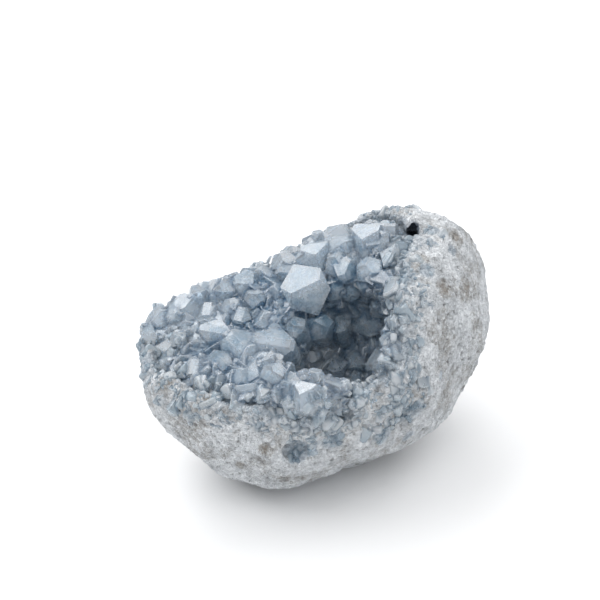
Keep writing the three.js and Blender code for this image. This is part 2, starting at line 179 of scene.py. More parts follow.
# Kinds of crystals that fill the crust, with their widths. The spacing and how far they stand out
# are shares of the width, and the leans are shares of the ground's own direction.
MEDIUM = {
    "smallest": 4.5 * MM, "largest": 9 * MM, "skew": 1.2,
    "spacing": 0.66, "standing": (0.28, 0.5), "lean": 0.22,
}
SMALL = {
    "smallest": 2.2 * MM, "largest": 4.5 * MM, "skew": 1.4,
    "spacing": 0.75, "standing": (0.2, 0.5), "lean": 0.3,
}
FROSTED = {
    "smallest": 1.7 * MM, "largest": 5.4 * MM, "skew": 1.6,
    "spacing": 0.42, "standing": (0.08, 0.34), "lean": 0.7,
}

# How many spots are tried for each crystal of a kind.
TRIES = 60

# Most crystals point this way, as much as they point the way that their ground faces.
GROWTH = {"bearing": 222, "rise": 48}

# Frosted crystals reach this far from the hollow's edge onto the rock and onto the clear crystals,
# and lie on the rock in patches of this size.
BAND_ON_ROCK = 7 * MM
BAND_ON_CRYSTALS = 5 * MM
FROSTED_PATCH = 4.5 * MM

# How strongly celestite bends light.
CELESTITE_IOR = 1.62

# Colours of the rock and the crystals, beside those that the panel gives. Some are painted shade or a painted
# highlight, as marked below.
SHADES = {
    "shady rock": (0.46, 0.48, 0.50),
    "grey grain": (0.28, 0.285, 0.29),
    "blue rock": (0.24, 0.305, 0.38),
    "pale blue rock": (0.50, 0.565, 0.63),
    "milky root": (0.46, 0.60, 0.74),
    "white root": (0.92, 0.97, 1.0),
    # Painted shade inside the pit, on the rock and on the crystals.
    "painted shade in the pit on rock": (0.09, 0.115, 0.15),
    "painted shade in the pit on crystal": (0.03, 0.045, 0.065),
    "frosted": (0.58, 0.69, 0.77),
    "pale frosted": (0.92, 0.96, 0.99),
    "blue frosted": (0.36, 0.48, 0.58),
    "pale blue frosted": (0.62, 0.72, 0.80),
    # Painted shade between the frosted crystals.
    "painted shade between frosted crystals": (0.17, 0.27, 0.37),
    "dust": (0.90, 0.93, 0.95),
    # Painted shade in the crevices between the clear crystals.
    "gap": (0.10, 0.21, 0.36),
    "flaw": (0.80, 0.86, 0.92),
    # Painted highlight along the clear crystals' sharp edges.
    "edge": (0.93, 0.96, 1.0),
}


def toward(bearing, rise):
    """A unit vector from a bearing and a rise in degrees."""
    level = math.cos(math.radians(rise))
    turn = math.radians(bearing)
    return Vector((math.cos(turn) * level, math.sin(turn) * level, math.sin(math.radians(rise))))


def length(name, description, default):
    """A property that holds a length."""
    return FloatProperty(name=name, description=description, default=default, unit="LENGTH")


def colour(name, description, default):
    """A property that holds a colour."""
    return FloatVectorProperty(name=name, description=description, default=default, subtype="COLOR")


class GEODE_PG_rock(bpy.types.PropertyGroup):
    """Sizes and colours of the rock rind."""

    voxel: length("Fineness", "Edge of the mesh squares on the rock", 0.72 * MM)
    wear: IntProperty(name="Wear", description="How many times the flat facets are worn round", default=26)
    rim: length("Rim", "How high the rock bulges round the mouth", 3.4 * MM)
    lumps: length("Lumps", "Height of the lumps", 1.5 * MM)
    grains: length("Grains", "Height of the grains", 0.6 * MM)
    pits: length("Pits", "Depth of the small pits", 0.6 * MM)
    grit: length("Grit", "Height of the finest grit", 0.7 * MM)
    pale: colour("Pale rock", "Colour of the rock", (0.71, 0.735, 0.765))
    powder: colour("Powder", "Colour of its palest grains", (0.93, 0.955, 0.98))
    drab: colour("Drab rock", "Colour of its dull patches", (0.34, 0.325, 0.305))
    dark: colour("Dark specks", "Colour of its specks and pits", (0.13, 0.125, 0.12))
    brown: colour("Stain", "Colour of its stains", (0.25, 0.205, 0.16))


class GEODE_PG_crystals(bpy.types.PropertyGroup):
    """Sizes and colours of the crystals."""

    medium: IntProperty(name="Medium crystals", description="How many cover the low ground", default=200)
    small: IntProperty(name="Small crystals", description="How many fill the crevices", default=260)
    frosted: IntProperty(name="Frosted crystals", description="How many line the hollow's edge", default=1500)
    seed: IntProperty(name="Seed", description="Start of the random draws", default=11)
    milky_depth: length("Clear depth", "How deep the crystals are clear", 2.0 * MM)
    pale: colour("Pale crystal", "Colour of the palest crystals", (0.80, 0.91, 1.0))
    deep: colour("Deep crystal", "Colour of the bluest crystals", (0.20, 0.36, 0.50))
    frost: colour("Frost", "Colour of frosted patches", (0.82, 0.88, 0.94))
    absorbed: colour("Depth colour", "Colour that thick crystal takes", (0.50, 0.72, 0.86))
    density: FloatProperty(
        name="Density", description="How fast the depth colour builds up, per metre", default=70.0,
    )


class GEODE_PG_stage(bpy.types.PropertyGroup):
    """Camera and floor."""

    azimuth: FloatProperty(name="Azimuth", description="Camera's bearing, degrees", default=-30.0)
    elevation: FloatProperty(name="Elevation", description="Camera's rise, degrees", default=32.0)
    distance: length("Distance", "Camera to stone", 0.7)
    lens: FloatProperty(name="Lens", description="Focal length, mm", default=129.8)
    floor: colour("Floor", "Colour of the floor", (0.86, 0.86, 0.86))


def select_only(piece):
    bpy.ops.object.select_all(action="DESELECT")
    piece.hide_set(False)
    piece.select_set(True)
    bpy.context.view_layer.objects.active = piece


def apply_modifiers(piece):
    select_only(piece)
    for modifier in list(piece.modifiers):
        bpy.ops.object.modifier_apply(modifier=modifier.name)


def merged_copy(node, name):
    """A copy of a solid's mesh with its loose triangles merged into one closed surface."""
    piece = bpy.data.objects.new(name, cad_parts[node].data.copy())
    bpy.context.scene.collection.objects.link(piece)
    piece.data.materials.clear()
    select_only(piece)
    bpy.ops.mesh.customdata_custom_splitnormals_clear()
    bpy.ops.object.mode_set(mode="EDIT")
    bpy.ops.mesh.select_all(action="SELECT")
    bpy.ops.mesh.remove_doubles(threshold=MERGE)
    bpy.ops.object.mode_set(mode="OBJECT")
    return piece


def remesh(piece, voxel):
    modifier = piece.modifiers.new("even mesh", "REMESH")
    modifier.mode = "VOXEL"
    modifier.voxel_size = voxel
    apply_modifiers(piece)


def wear_round(piece, steps):
    modifier = piece.modifiers.new("worn", "SMOOTH")
    modifier.factor = 0.5
    modifier.iterations = steps
    apply_modifiers(piece)


def displace(piece, texture, height, middle=0.5, group=""):
    modifier = piece.modifiers.new(texture.name, "DISPLACE")
    modifier.texture = texture
    modifier.texture_coords = "LOCAL"
    modifier.strength = height
    modifier.mid_level = middle
    modifier.vertex_group = group
    apply_modifiers(piece)


def clouds(name, size, depth=2):
    texture = bpy.data.textures.new(name, "CLOUDS")
    texture.noise_scale = size
    texture.noise_depth = depth
    return texture


def cells(name, size):
    texture = bpy.data.textures.new(name, "VORONOI")
    texture.noise_scale = size
    texture.color_mode = "INTENSITY"
    texture.weight_1 = 1.0
    return texture


def pits(name, size):
    """Scattered pits: a cloud that is dark but for its peaks."""
    texture = clouds(name, size, 1)
    texture.use_color_ramp = True
    low, high = texture.color_ramp.elements
    low.position, high.position = 0.66, 0.80
    low.color, high.color = (0, 0, 0, 1), (1, 1, 1, 1)
    return texture


def surface_tree(piece):
    """A search tree of a piece's faces."""
    mesh = piece.data
    return BVHTree.FromPolygons([v.co for v in mesh.vertices], [p.vertices for p in mesh.polygons])


def triangles_tree(corners):
    """A search tree of triangles, each given by the next three corners."""
    return BVHTree.FromPolygons(corners, [(i, i + 1, i + 2) for i in range(0, len(corners), 3)])


def eroded(piece, depth, voxel):
    """Takes a layer of the depth off a closed piece all round."""
    tree = bpy.data.node_groups.new("taken in", "GeometryNodeTree")
    for side in ("INPUT", "OUTPUT"):
        tree.interface.new_socket("Geometry", in_out=side, socket_type="NodeSocketGeometry")
    start = tree.nodes.new("NodeGroupInput")
    end = tree.nodes.new("NodeGroupOutput")
    filled = tree.nodes.new("GeometryNodeMeshToVolume")
    filled.resolution_mode = "VOXEL_SIZE"
    filled.inputs["Voxel Size"].default_value = voxel
    filled.inputs["Interior Band Width"].default_value = 2 * depth
    filled.inputs["Density"].default_value = 1.0
    skin = tree.nodes.new("GeometryNodeVolumeToMesh")
    skin.inputs["Threshold"].default_value = 0.5
    tree.links.new(start.outputs[0], filled.inputs["Mesh"])
    tree.links.new(filled.outputs["Volume"], skin.inputs["Volume"])
    tree.links.new(skin.outputs["Mesh"], end.inputs[0])
    modifier = piece.modifiers.new("taken in", "NODES")
    modifier.node_group = tree
    apply_modifiers(piece)


def float_attribute(piece, name, values):
    attribute = piece.data.attributes.new(name, "FLOAT", "POINT")
    attribute.data.foreach_set("value", np.asarray(values, np.float32))


def measured(piece, name, measure):
    """Keeps a measure of each point of the piece as its attribute."""
    float_attribute(piece, name, [measure(vertex.co) for vertex in piece.data.vertices])


def vectors_of(vertices, key):
    """The vertices' places or normals, as an array."""
    values = np.zeros(3 * len(vertices), np.float64)
    vertices.foreach_get(key, values)
    return values.reshape(-1, 3)


def put_in_order(piece):
    """Numbers the points and faces by their place, because a Boolean or a subdivision leaves them in
    another order on each run."""
    mesh = piece.data
    points = vectors_of(mesh.vertices, "co")
    order = np.lexsort(points.T[::-1])
    number = np.empty(len(points), np.int64)
    number[order] = np.arange(len(points))
    faces = []
    for polygon in mesh.polygons:
        corners = number[list(polygon.vertices)].tolist()
        first = corners.index(min(corners))
        faces.append(corners[first:] + corners[:first])
    mesh.clear_geometry()
    mesh.from_pydata(points[order].tolist(), [], sorted(faces))
    mesh.update()


def cavities(piece, steps):
    """How far each point lies in a hollow of the surface (above 0) or on a hump, in metres."""
    mesh = piece.data
    edges = np.zeros(2 * len(mesh.edges), np.int64)
    mesh.edges.foreach_get("vertices", edges)
    a, b = edges.reshape(-1, 2).T
    points = vectors_of(mesh.vertices, "co")
    count = len(points)
    near = np.maximum(np.bincount(a, minlength=count) + np.bincount(b, minlength=count), 1)
    smooth = points.copy()
    for _ in range(steps):
        total = np.zeros_like(smooth)
        for axis in range(3):
            level = smooth[:, axis]
            total[:, axis] = np.bincount(a, level[b], count) + np.bincount(b, level[a], count)
        smooth = total / near[:, None]
    return ((smooth - points) * vectors_of(mesh.vertices, "normal")).sum(1)


class Shader:
    """A material's node tree, with short ways to add and join nodes."""

    def __init__(self, name, tree=None):
        self.material = None
        if tree is None:
            self.material = bpy.data.materials.new(name)
            self.material.use_nodes = True
            tree = self.material.node_tree
            tree.nodes.clear()
        self.tree = tree

    def node(self, kind, **values):
        made = self.tree.nodes.new(kind)
        for key, value in values.items():
            setattr(made, key, value)
        return made

    def join(self, source, target):
        self.tree.links.new(source, target)

    def feed(self, socket, value):
        """Links a socket to another, or sets its plain value."""
        if isinstance(value, bpy.types.NodeSocket):
            self.join(value, socket)
        elif isinstance(value, (tuple, list)) and len(value) == 3 and socket.type == "RGBA":
            socket.default_value = (*value, 1.0)
        else:
            socket.default_value = value

    def math(self, operation, a, b=None, clamp=False):
        made = self.node("ShaderNodeMath", operation=operation, use_clamp=clamp)
        self.feed(made.inputs[0], a)
        if b is not None:
            self.feed(made.inputs[1], b)
        return made.outputs[0]

    def plus(self, a, b, clamp=False):
        return self.math("ADD", a, b, clamp)

    def minus(self, a, b, clamp=False):
        return self.math("SUBTRACT", a, b, clamp)

    def times(self, a, b):
        return self.math("MULTIPLY", a, b)

    def larger(self, a, b, clamp=False):
        return self.math("MAXIMUM", a, b, clamp)

    def ramp(self, value, low, high, to_low=0.0, to_high=1.0):
        """A value turned smoothly from one range to another."""
        made = self.node("ShaderNodeMapRange", interpolation_type="SMOOTHSTEP")
        sockets = ("Value", "From Min", "From Max", "To Min", "To Max")
        for key, given in zip(sockets, (value, low, high, to_low, to_high)):
            self.feed(made.inputs[key], given)
        return made.outputs["Result"]

    def mix(self, factor, a, b):
        """Two colours mixed. The node's colour sockets share their names with those of other kinds."""
        made = self.node("ShaderNodeMix", data_type="RGBA")
        first_colour, second_colour, mixed_colour = 6, 7, 2
        self.feed(made.inputs["Factor"], factor)
        self.feed(made.inputs[first_colour], a)
        self.feed(made.inputs[second_colour], b)
        return made.outputs[mixed_colour]

    def place(self, stretch=(1, 1, 1), turn=(0, 0, 0)):
        """The surface's own place on the piece, turned and stretched."""
        coordinates = self.node("ShaderNodeTexCoord")
        mapping = self.node("ShaderNodeMapping")
        mapping.inputs["Rotation"].default_value = turn
        mapping.inputs["Scale"].default_value = stretch
        self.join(coordinates.outputs["Object"], mapping.inputs["Vector"])
        return mapping.outputs[0]

    def noise(self, size, detail=3.0, rough=0.55, vector=None):
        made = self.node("ShaderNodeTexNoise")
        made.inputs["Scale"].default_value = 1 / size
        made.inputs["Detail"].default_value = detail
        made.inputs["Roughness"].default_value = rough
        self.join(vector or self.place(), made.inputs["Vector"])
        return made.outputs["Fac"]

    def cells(self, size, vector, **values):
        """A node of random cells of about the size."""
        made = self.node("ShaderNodeTexVoronoi", feature="F1", **values)
        made.inputs["Scale"].default_value = 1 / size
        self.join(vector, made.inputs["Vector"])
        return made

    def attribute(self, name):
        return self.node("ShaderNodeAttribute", attribute_name=name).outputs["Fac"]

    def bump(self, height, strength, distance, normal=None):
        made = self.node("ShaderNodeBump")
        made.inputs["Strength"].default_value = strength
        made.inputs["Distance"].default_value = distance
        self.feed(made.inputs["Height"], height)
        if normal is not None:
            self.join(normal, made.inputs["Normal"])
        return made.outputs[0]

    def finish(self, **inputs):
        """The Principled shader with these inputs, as the material's surface."""
        shader = self.node("ShaderNodeBsdfPrincipled")
        for key, value in inputs.items():
            self.feed(shader.inputs[key.replace("_", " ")], value)
        out = self.node("ShaderNodeOutputMaterial")
        self.join(shader.outputs[0], out.inputs["Surface"])
        return out


def group_with(name, ins, outs):
    """A new shader node group with float inputs and named outputs."""
    tree = bpy.data.node_groups.new(name, "ShaderNodeTree")
    for key, value in ins.items():
        tree.interface.new_socket(key, in_out="INPUT", socket_type="NodeSocketFloat").default_value = value
    for key in outs:
        tree.interface.new_socket(key, in_out="OUTPUT", socket_type="NodeSocketFloat")
    shader = Shader(name, tree)
    return shader, shader.node("NodeGroupInput"), shader.node("NodeGroupOutput")


def use_group(shader, group, **values):
    made = shader.node("ShaderNodeGroup", node_tree=group)
    for key, value in values.items():
        shader.feed(made.inputs[key], value)
    return made


def mineral_grain_group():
    """Mottled grain of a size: its specks and its height. Rock and frosted crystal both have it."""
    shader, start, end = group_with("mineral grain", {"Size": 1.4 * MM}, ("Speck", "Height"))
    scale = shader.math("DIVIDE", 1.0, start.outputs["Size"])
    place = shader.place()
    cell = shader.node("ShaderNodeTexVoronoi", feature="F1")
    fine = shader.node("ShaderNodeTexNoise")
    patch = shader.node("ShaderNodeTexNoise")
    fine.inputs["Detail"].default_value = 5.0
    fine.inputs["Roughness"].default_value = 0.65
    patch.inputs["Detail"].default_value = 3.0
    for node, share in ((cell, 1.0), (fine, 0.8), (patch, 0.22)):
        shader.join(place, node.inputs["Vector"])
        shader.join(shader.times(scale, share), node.inputs["Scale"])
    uneven = shader.plus(fine.outputs["Fac"], shader.times(patch.outputs["Fac"], 0.6))
    shader.join(shader.ramp(uneven, 0.88, 1.02), end.inputs["Speck"])
    relief = shader.minus(fine.outputs["Fac"], shader.times(cell.outputs["Distance"], 0.7))
    shader.join(relief, end.inputs["Height"])
    return shader.tree


def crystal_face_group():
    """Haze, veils, flaws, random planes and fine growth relief of clear crystal."""
    outs = ("Roughness", "Veil", "Cloud", "Flaw", "Plane", "Height")
    shader, start, end = group_with("crystal faces", {"Frost": 0.5}, outs)
    place = shader.place(stretch=(1.0, 1.6, 0.6), turn=(0.4, 0.2, 0.7))
    broad = shader.noise(7 * MM, 3.0, 0.6, place)
    fine = shader.noise(0.8 * MM, 4.0, 0.6, place)
    steps = shader.cells(2.2 * MM, place).outputs["Distance"]
    frost = shader.plus(shader.ramp(broad, 0.42, 0.68), shader.minus(start.outputs["Frost"], 0.5), True)
    rough = shader.plus(frost, shader.times(fine, 0.3))
    shader.join(shader.ramp(rough, 0.1, 1.2, 0.02, 0.26), end.inputs["Roughness"])
    shader.join(shader.times(frost, shader.ramp(fine, 0.35, 0.7)), end.inputs["Veil"])
    shader.join(shader.ramp(shader.noise(4.5 * MM, 4.0, 0.6), 0.3, 0.7), end.inputs["Cloud"])
    bent = shader.noise(4 * MM, 2.0, 0.5, shader.place(stretch=(0.7, 1.0, 1.5), turn=(0.9, 0.3, 0.2)))
    thin = shader.math("ABSOLUTE", shader.minus(bent, 0.5))
    broken = shader.ramp(shader.noise(2.5 * MM, 3.0, 0.7), 0.45, 0.65)
    flaw = shader.times(shader.ramp(thin, 0.0, 0.02, 1.0, 0.0), broken)
    shader.join(flaw, end.inputs["Flaw"])
    slanted = shader.place(stretch=(1.0, 0.7, 0.5), turn=(0.5, 0.8, 0.3))
    blocks = shader.cells(3.5 * MM, slanted, distance="MANHATTAN")
    parts = shader.node("ShaderNodeSeparateColor")
    shader.join(blocks.outputs["Color"], parts.inputs[0])
    shader.join(parts.outputs[0], end.inputs["Plane"])
    relief = shader.plus(shader.times(fine, 0.5), shader.times(steps, 0.5))
    shader.join(relief, end.inputs["Height"])
    return shader.tree


def painted_shade_in_pit(shader):
    """A mask of the painted shade in the pit."""
    return shader.ramp(shader.attribute("pit"), 0.34, 0.44)


def rock_material(look, grain):
    """Pale crumbly rock: dull patches, dark specks and pits, brown stains, blue beside the crystals, and
    painted shade in the pit beside the brow.
    """
    shader = Shader("pale granular rock")
    coarse = use_group(shader, grain, Size=1.3 * MM)
    fine = use_group(shader, grain, Size=0.55 * MM)
    crumbs = shader.ramp(shader.noise(1.1 * MM, 6.0, 0.8), 0.40, 0.58)
    uneven = shader.ramp(shader.noise(4.5 * MM, 4.0, 0.6), 0.34, 0.62)
    shady = shader.mix(uneven, SHADES["shady rock"], look["pale"])
    bright = shader.mix(uneven, look["pale"], look["powder"])
    white = shader.mix(crumbs, shady, bright)
    grainy = shader.mix(shader.times(fine.outputs["Speck"], 0.55), white, SHADES["grey grain"])

    stain = shader.attribute("stain")
    drab = shader.ramp(shader.plus(shader.noise(12 * MM, 5.0, 0.65), shader.times(stain, 0.6)), 0.46, 0.62)
    broken = shader.ramp(shader.noise(1.6 * MM, 6.0, 0.8), 0.38, 0.60)
    dull = shader.mix(shader.times(shader.times(drab, broken), 0.85), grainy, look["drab"])
    specks = shader.times(coarse.outputs["Speck"], shader.plus(0.2, shader.times(drab, 0.4)))
    # Dark specks, and darker in the surface's hollows.
    hollows = shader.times(shader.ramp(shader.attribute("cavity"), 0.06, 0.42), 0.5)
    darker_in_specks_and_hollows = shader.mix(shader.larger(specks, hollows, True), dull, look["dark"])
    brown = shader.plus(stain, shader.times(shader.noise(1.3 * MM, 6.0, 0.85), 3.0))
    stained = shader.mix(shader.times(shader.ramp(brown, 1.8, 2.4), 0.65), darker_in_specks_and_hollows, look["brown"])

    near = shader.ramp(shader.attribute("from_crystals"), 0.0, 0.55, 0.75, 0.0)
    bluish = shader.larger(near, shader.times(shader.attribute("blue_patch"), 1.3))
    bluish = shader.ramp(shader.plus(bluish, shader.noise(2.4 * MM, 5.0, 0.7)), 0.66, 1.2)
    blue = shader.mix(crumbs, SHADES["blue rock"], SHADES["pale blue rock"])
    rim = shader.mix(shader.times(bluish, 0.75), stained, blue)
    cloud = shader.ramp(shader.noise(3.2 * MM, 4.0, 0.65), 0.38, 0.62)
    milk = shader.mix(cloud, SHADES["milky root"], SHADES["white root"])
    rooted = shader.mix(shader.ramp(shader.attribute("below_crystals"), 0.3, 1.4), rim, milk)
    # Painted shade: near black inside the pit beside the brow.
    pitted = shader.mix(painted_shade_in_pit(shader), rooted, SHADES["painted shade in the pit on rock"])

    relief = shader.bump(crumbs, 0.6, 0.4 * MM)
    relief = shader.bump(coarse.outputs["Height"], 0.8, 0.8 * MM, relief)
    relief = shader.bump(fine.outputs["Height"], 1.0, 0.6 * MM, relief)
    roughness = shader.ramp(bluish, 0.0, 1.0, 0.85, 0.42)
    shader.finish(Base_Color=pitted, Normal=relief, Roughness=roughness)
    return shader.material


def frosted_material(grain):
    """Pale, frosted, half-clear crystals at the edge of the hollow, with painted shade in the crevices
    between them.
    """
    shader = Shader("frosted celestite")
    speck = use_group(shader, grain, Size=0.9 * MM)
    tone = shader.plus(shader.times(shader.attribute("tone"), 0.5), shader.noise(3.5 * MM, 3.0, 0.6))
    uneven = shader.ramp(tone, 0.45, 1.0)
    pale = shader.mix(uneven, SHADES["frosted"], SHADES["pale frosted"])
    blue = shader.mix(uneven, SHADES["blue frosted"], SHADES["pale blue frosted"])
    tinted = shader.mix(shader.ramp(shader.attribute("blue_patch"), 0.05, 0.4), pale, blue)
    # Painted shade: darker blue near the crevices between the frosted crystals.
    low = shader.ramp(shader.attribute("from_gap"), 0.0, 1.2, 1.0, 0.0)
    with_painted_shade = shader.mix(shader.times(low, 0.7), tinted, SHADES["painted shade between frosted crystals"])
    dusty = shader.mix(shader.times(speck.outputs["Speck"], 0.35), with_painted_shade, SHADES["dust"])
    shader.finish(
        Base_Color=dusty,
        Roughness=shader.ramp(tone, 0.4, 1.0, 0.12, 0.36),
        IOR=CELESTITE_IOR,
        Transmission_Weight=0.65,
        Normal=shader.bump(speck.outputs["Height"], 0.25, 0.2 * MM),
    )
    return shader.material


def clear_material(look, faces):
    """Steel-blue, hazy crystal, each crystal in its own tone, with painted light and shade: deep blue in the
    gaps and on the low ground, near black in the pit, paler on the points and in the deep hollow, and pale
    along the sharp edges.
    """
    shader = Shader("clear celestite")
    skin = use_group(shader, faces, Frost=0.42)
    cloud = skin.outputs["Cloud"]
    frost = shader.attribute("frost")
    worn = shader.ramp(shader.attribute("from_rock"), 0.0, 1.0, 1.0, 0.0)
    tone = shader.times(shader.attribute("tone"), 0.25)
    # The tone that picks deep or pale: each crystal's and each face's own random tone; paler on the points
    # and darker on the low ground, as painted light and shade; paler near the rock; paler in the deep hollow,
    # as painted light; and the clouds and planes of the faces.
    for value, share in (
        (shader.attribute("face_tone"), 0.35),
        (shader.ramp(shader.attribute("height"), -3.0, 6.0), 0.35),
        (worn, 0.4),
        (shader.attribute("inside"), 0.8),
        (cloud, 0.1),
        (skin.outputs["Plane"], 0.12),
    ):
        tone = shader.plus(tone, shader.times(value, share))
    body = shader.mix(shader.ramp(tone, -0.1, 1.25), look["deep"], look["pale"])

    frosting = shader.ramp(shader.plus(frost, cloud), 0.15, 1.05)
    haze = shader.times(skin.outputs["Veil"], shader.plus(0.2, shader.times(worn, 0.5)))
    veiled = shader.mix(shader.larger(haze, shader.times(frosting, 0.8)), body, look["frost"])
    # Painted shade: darker blue near the crevices between crystals, less where frost covers them, and near
    # black in the pit.
    bare = shader.minus(1.0, shader.times(frost, 1.1), True)
    gap = shader.times(shader.ramp(shader.attribute("from_gap"), 0.0, 1.4, 0.65, 0.0), bare)
    with_painted_shade = shader.mix(painted_shade_in_pit(shader), shader.mix(gap, veiled, SHADES["gap"]), SHADES["painted shade in the pit on crystal"])
    flawed = shader.mix(shader.times(skin.outputs["Flaw"], 0.5), with_painted_shade, SHADES["flaw"])
    # Painted highlight: paler along the sharp edges, stronger in patches.
    edge = shader.ramp(shader.attribute("from_edge"), 0.0, 0.4, 1.0, 0.0)
    edge = shader.times(edge, shader.ramp(shader.noise(3 * MM, 2.0), 0.35, 0.7, 0.1, 1.0))
    out = shader.finish(
        Base_Color=shader.mix(shader.times(edge, 0.5), flawed, SHADES["edge"]),
        Roughness=skin.outputs["Roughness"],
        IOR=CELESTITE_IOR,
        Transmission_Weight=0.7,
        Specular_IOR_Level=0.7,
        Coat_Weight=0.35,
        Coat_Roughness=0.06,
        Coat_IOR=1.5,
        Normal=shader.bump(skin.outputs["Height"], 0.22, 0.15 * MM),
    )
    depth = shader.node("ShaderNodeVolumeAbsorption")
    depth.inputs["Color"].default_value = (*look["absorbed"], 1.0)
    depth.inputs["Density"].default_value = look["density"]
    shader.join(depth.outputs[0], out.inputs["Volume"])
    return shader.material


# Small crystals' habits, for a width of 1: the depth and length, how far the tip is drawn out into a
# roof edge, the slopes of the roof's sides and ends in degrees, and how much the long edges are cut.
HABITS = (
    {"name": "blocky", "depth": 0.9, "length": 1.6, "ridge": 0.35, "sides": 44, "ends": 38, "cut": 0.86},
    {"name": "chisel", "depth": 1.3, "length": 1.8, "ridge": 0.7, "sides": 52, "ends": 48, "cut": 0.8},
    {"name": "point", "depth": 0.85, "length": 2.0, "ridge": 0.0, "sides": 56, "ends": 50, "cut": 0.78},
    {"name": "tablet", "depth": 0.65, "length": 1.7, "ridge": 0.3, "sides": 40, "ends": 50, "cut": 0.88},
    {"name": "wedge", "depth": 1.0, "length": 1.7, "ridge": 0.15, "sides": 62, "ends": 34, "cut": 0.84},
)


def cut_plane(point, normal):
    """Cuts off what lies past a plane and closes the cut."""
    bpy.ops.mesh.select_all(action="SELECT")
    bpy.ops.mesh.bisect(plane_co=point, plane_no=normal, use_fill=True, clear_outer=True)


def model_habit(habit, root, edge_width):
    """One crystal, one unit wide, with its tip at the origin and its root below it."""
    tall = habit["length"] * root
    bpy.ops.object.select_all(action="DESELECT")
    bpy.ops.mesh.primitive_cube_add(size=1, location=(0, 0, -tall / 2), scale=(1, habit["depth"], tall))
    crystal = bpy.context.object
    crystal.name = "habit_" + habit["name"]
    bpy.ops.object.transform_apply(location=True, rotation=True, scale=True)
    side, end = math.radians(habit["sides"]), math.radians(habit["ends"])
    half_ridge = habit["ridge"] * habit["depth"] / 2
    edge = math.atan2(1, habit["depth"])
    across = habit["cut"] * math.hypot(0.5, habit["depth"] / 2)
    bpy.ops.object.mode_set(mode="EDIT")
    for sign in (-1, 1):
        cut_plane((0, 0, 0), (sign * math.sin(side), 0, math.cos(side)))
        cut_plane((0, sign * half_ridge, 0), (0, sign * math.sin(end), math.cos(end)))
        for other in (-1, 1):
            normal = Vector((sign * math.sin(edge), other * math.cos(edge), 0))
            cut_plane(normal * across, normal)
    bpy.ops.mesh.remove_doubles(threshold=0.01)
    bpy.ops.mesh.select_all(action="SELECT")
    bpy.ops.mesh.bevel(offset=edge_width, segments=1, affect="EDGES", clamp_overlap=True)
    bpy.ops.mesh.select_all(action="SELECT")
    bpy.ops.mesh.normals_make_consistent(inside=False)
    bpy.ops.object.mode_set(mode="OBJECT")
    return crystal


def all_habits(root, edge_width):
    return [model_habit(habit, root, edge_width) for habit in HABITS]


def remove(pieces):
    for piece in pieces:
        bpy.data.objects.remove(piece)


def is_covered(face, cover, least_gap):
    """Whether another surface lies over a face, closer than the gap."""
    off_the_face = face.normal * 0.05 * MM
    return cover.ray_cast(face.center + off_the_face, face.normal, least_gap)[0] is not None


class Surface:
    """The open faces of a closed piece, to stand crystals on."""

    def __init__(self, piece, cover, least_gap, only=None):
        """Takes the faces, or only these of them, that the cover does not lie close over."""
        mesh = piece.data
        self.faces = []
        self.areas = []
        for face in mesh.polygons:
            if (only is None or face.index in only) and not is_covered(face, cover, least_gap):
                corners = [mesh.vertices[i].co.copy() for i in face.vertices]
                self.faces.append((corners, face.normal.copy()))
                self.areas.append(face.area)

    def spot(self, dice):
        """A random point of the surface, and the way it faces there."""
        corners, normal = dice.choices(self.faces, self.areas)[0]
        along, across = math.sqrt(dice.random()), dice.random()
        a, b, c = corners[:3]
        return a * (1 - along) + b * (along * (1 - across)) + c * (along * across), normal


class Grid:
    """Points in cells, to find whether another lies close."""

    def __init__(self, cell):
        self.cell = cell
        self.points = {}

    def key(self, point):
        return tuple(int(math.floor(value / self.cell)) for value in point)

    def near(self, point, distance):
        x, y, z = self.key(point)
        for i, j, k in itertools.product((-1, 0, 1), repeat=3):
            if any((other - point).length < distance for other in self.points.get((x + i, y + j, z + k), ())):
                return True
        return False

    def add(self, point):
        self.points.setdefault(self.key(point), []).append(point)


def stand(tip, growth, turn, width):
    """The placing of a crystal: its tip, the way it grew, its turn on its axis and its width."""
    upright = growth.to_track_quat("Z", "Y").to_matrix().to_4x4()
    return Matrix.Translation(tip) @ upright @ Matrix.Rotation(turn, 4, "Z") @ Matrix.Scale(width, 4)


def joined(placed, habits, name):
    """Copies of the habits at their places, as one piece."""
    bpy.ops.object.select_all(action="DESELECT")
    for habit, place, _, _ in placed:
        mesh = habits[habit].data.copy()
        mesh.transform(place)
        copy = bpy.data.objects.new(name, mesh)
        bpy.context.scene.collection.objects.link(copy)
        copy.select_set(True)
        bpy.context.view_layer.objects.active = copy
    bpy.ops.object.join()
    return bpy.context.object


def apart(placed):
    """The crystals sorted into batches in which none touches another."""
    batches = []
    for crystal in placed:
        _, _, centre, reach = crystal
        for batch in batches:
            if all((centre - other[2]).length > reach + other[3] for other in batch):
                batch.append(crystal)
                break
        else:
            batches.append([crystal])
    return batches


def grow_on(piece, batches, habits):
    """Unites crystals with a piece, batch by batch."""
    for number, batch in enumerate(batches):
        added = joined(batch, habits, f"batch_{number}")
        modifier = piece.modifiers.new("grown", "BOOLEAN")
        modifier.operation = "UNION"
        modifier.solver = "MANIFOLD"
        modifier.object = added
        apply_modifiers(piece)
        bpy.data.objects.remove(added)
    put_in_order(piece)


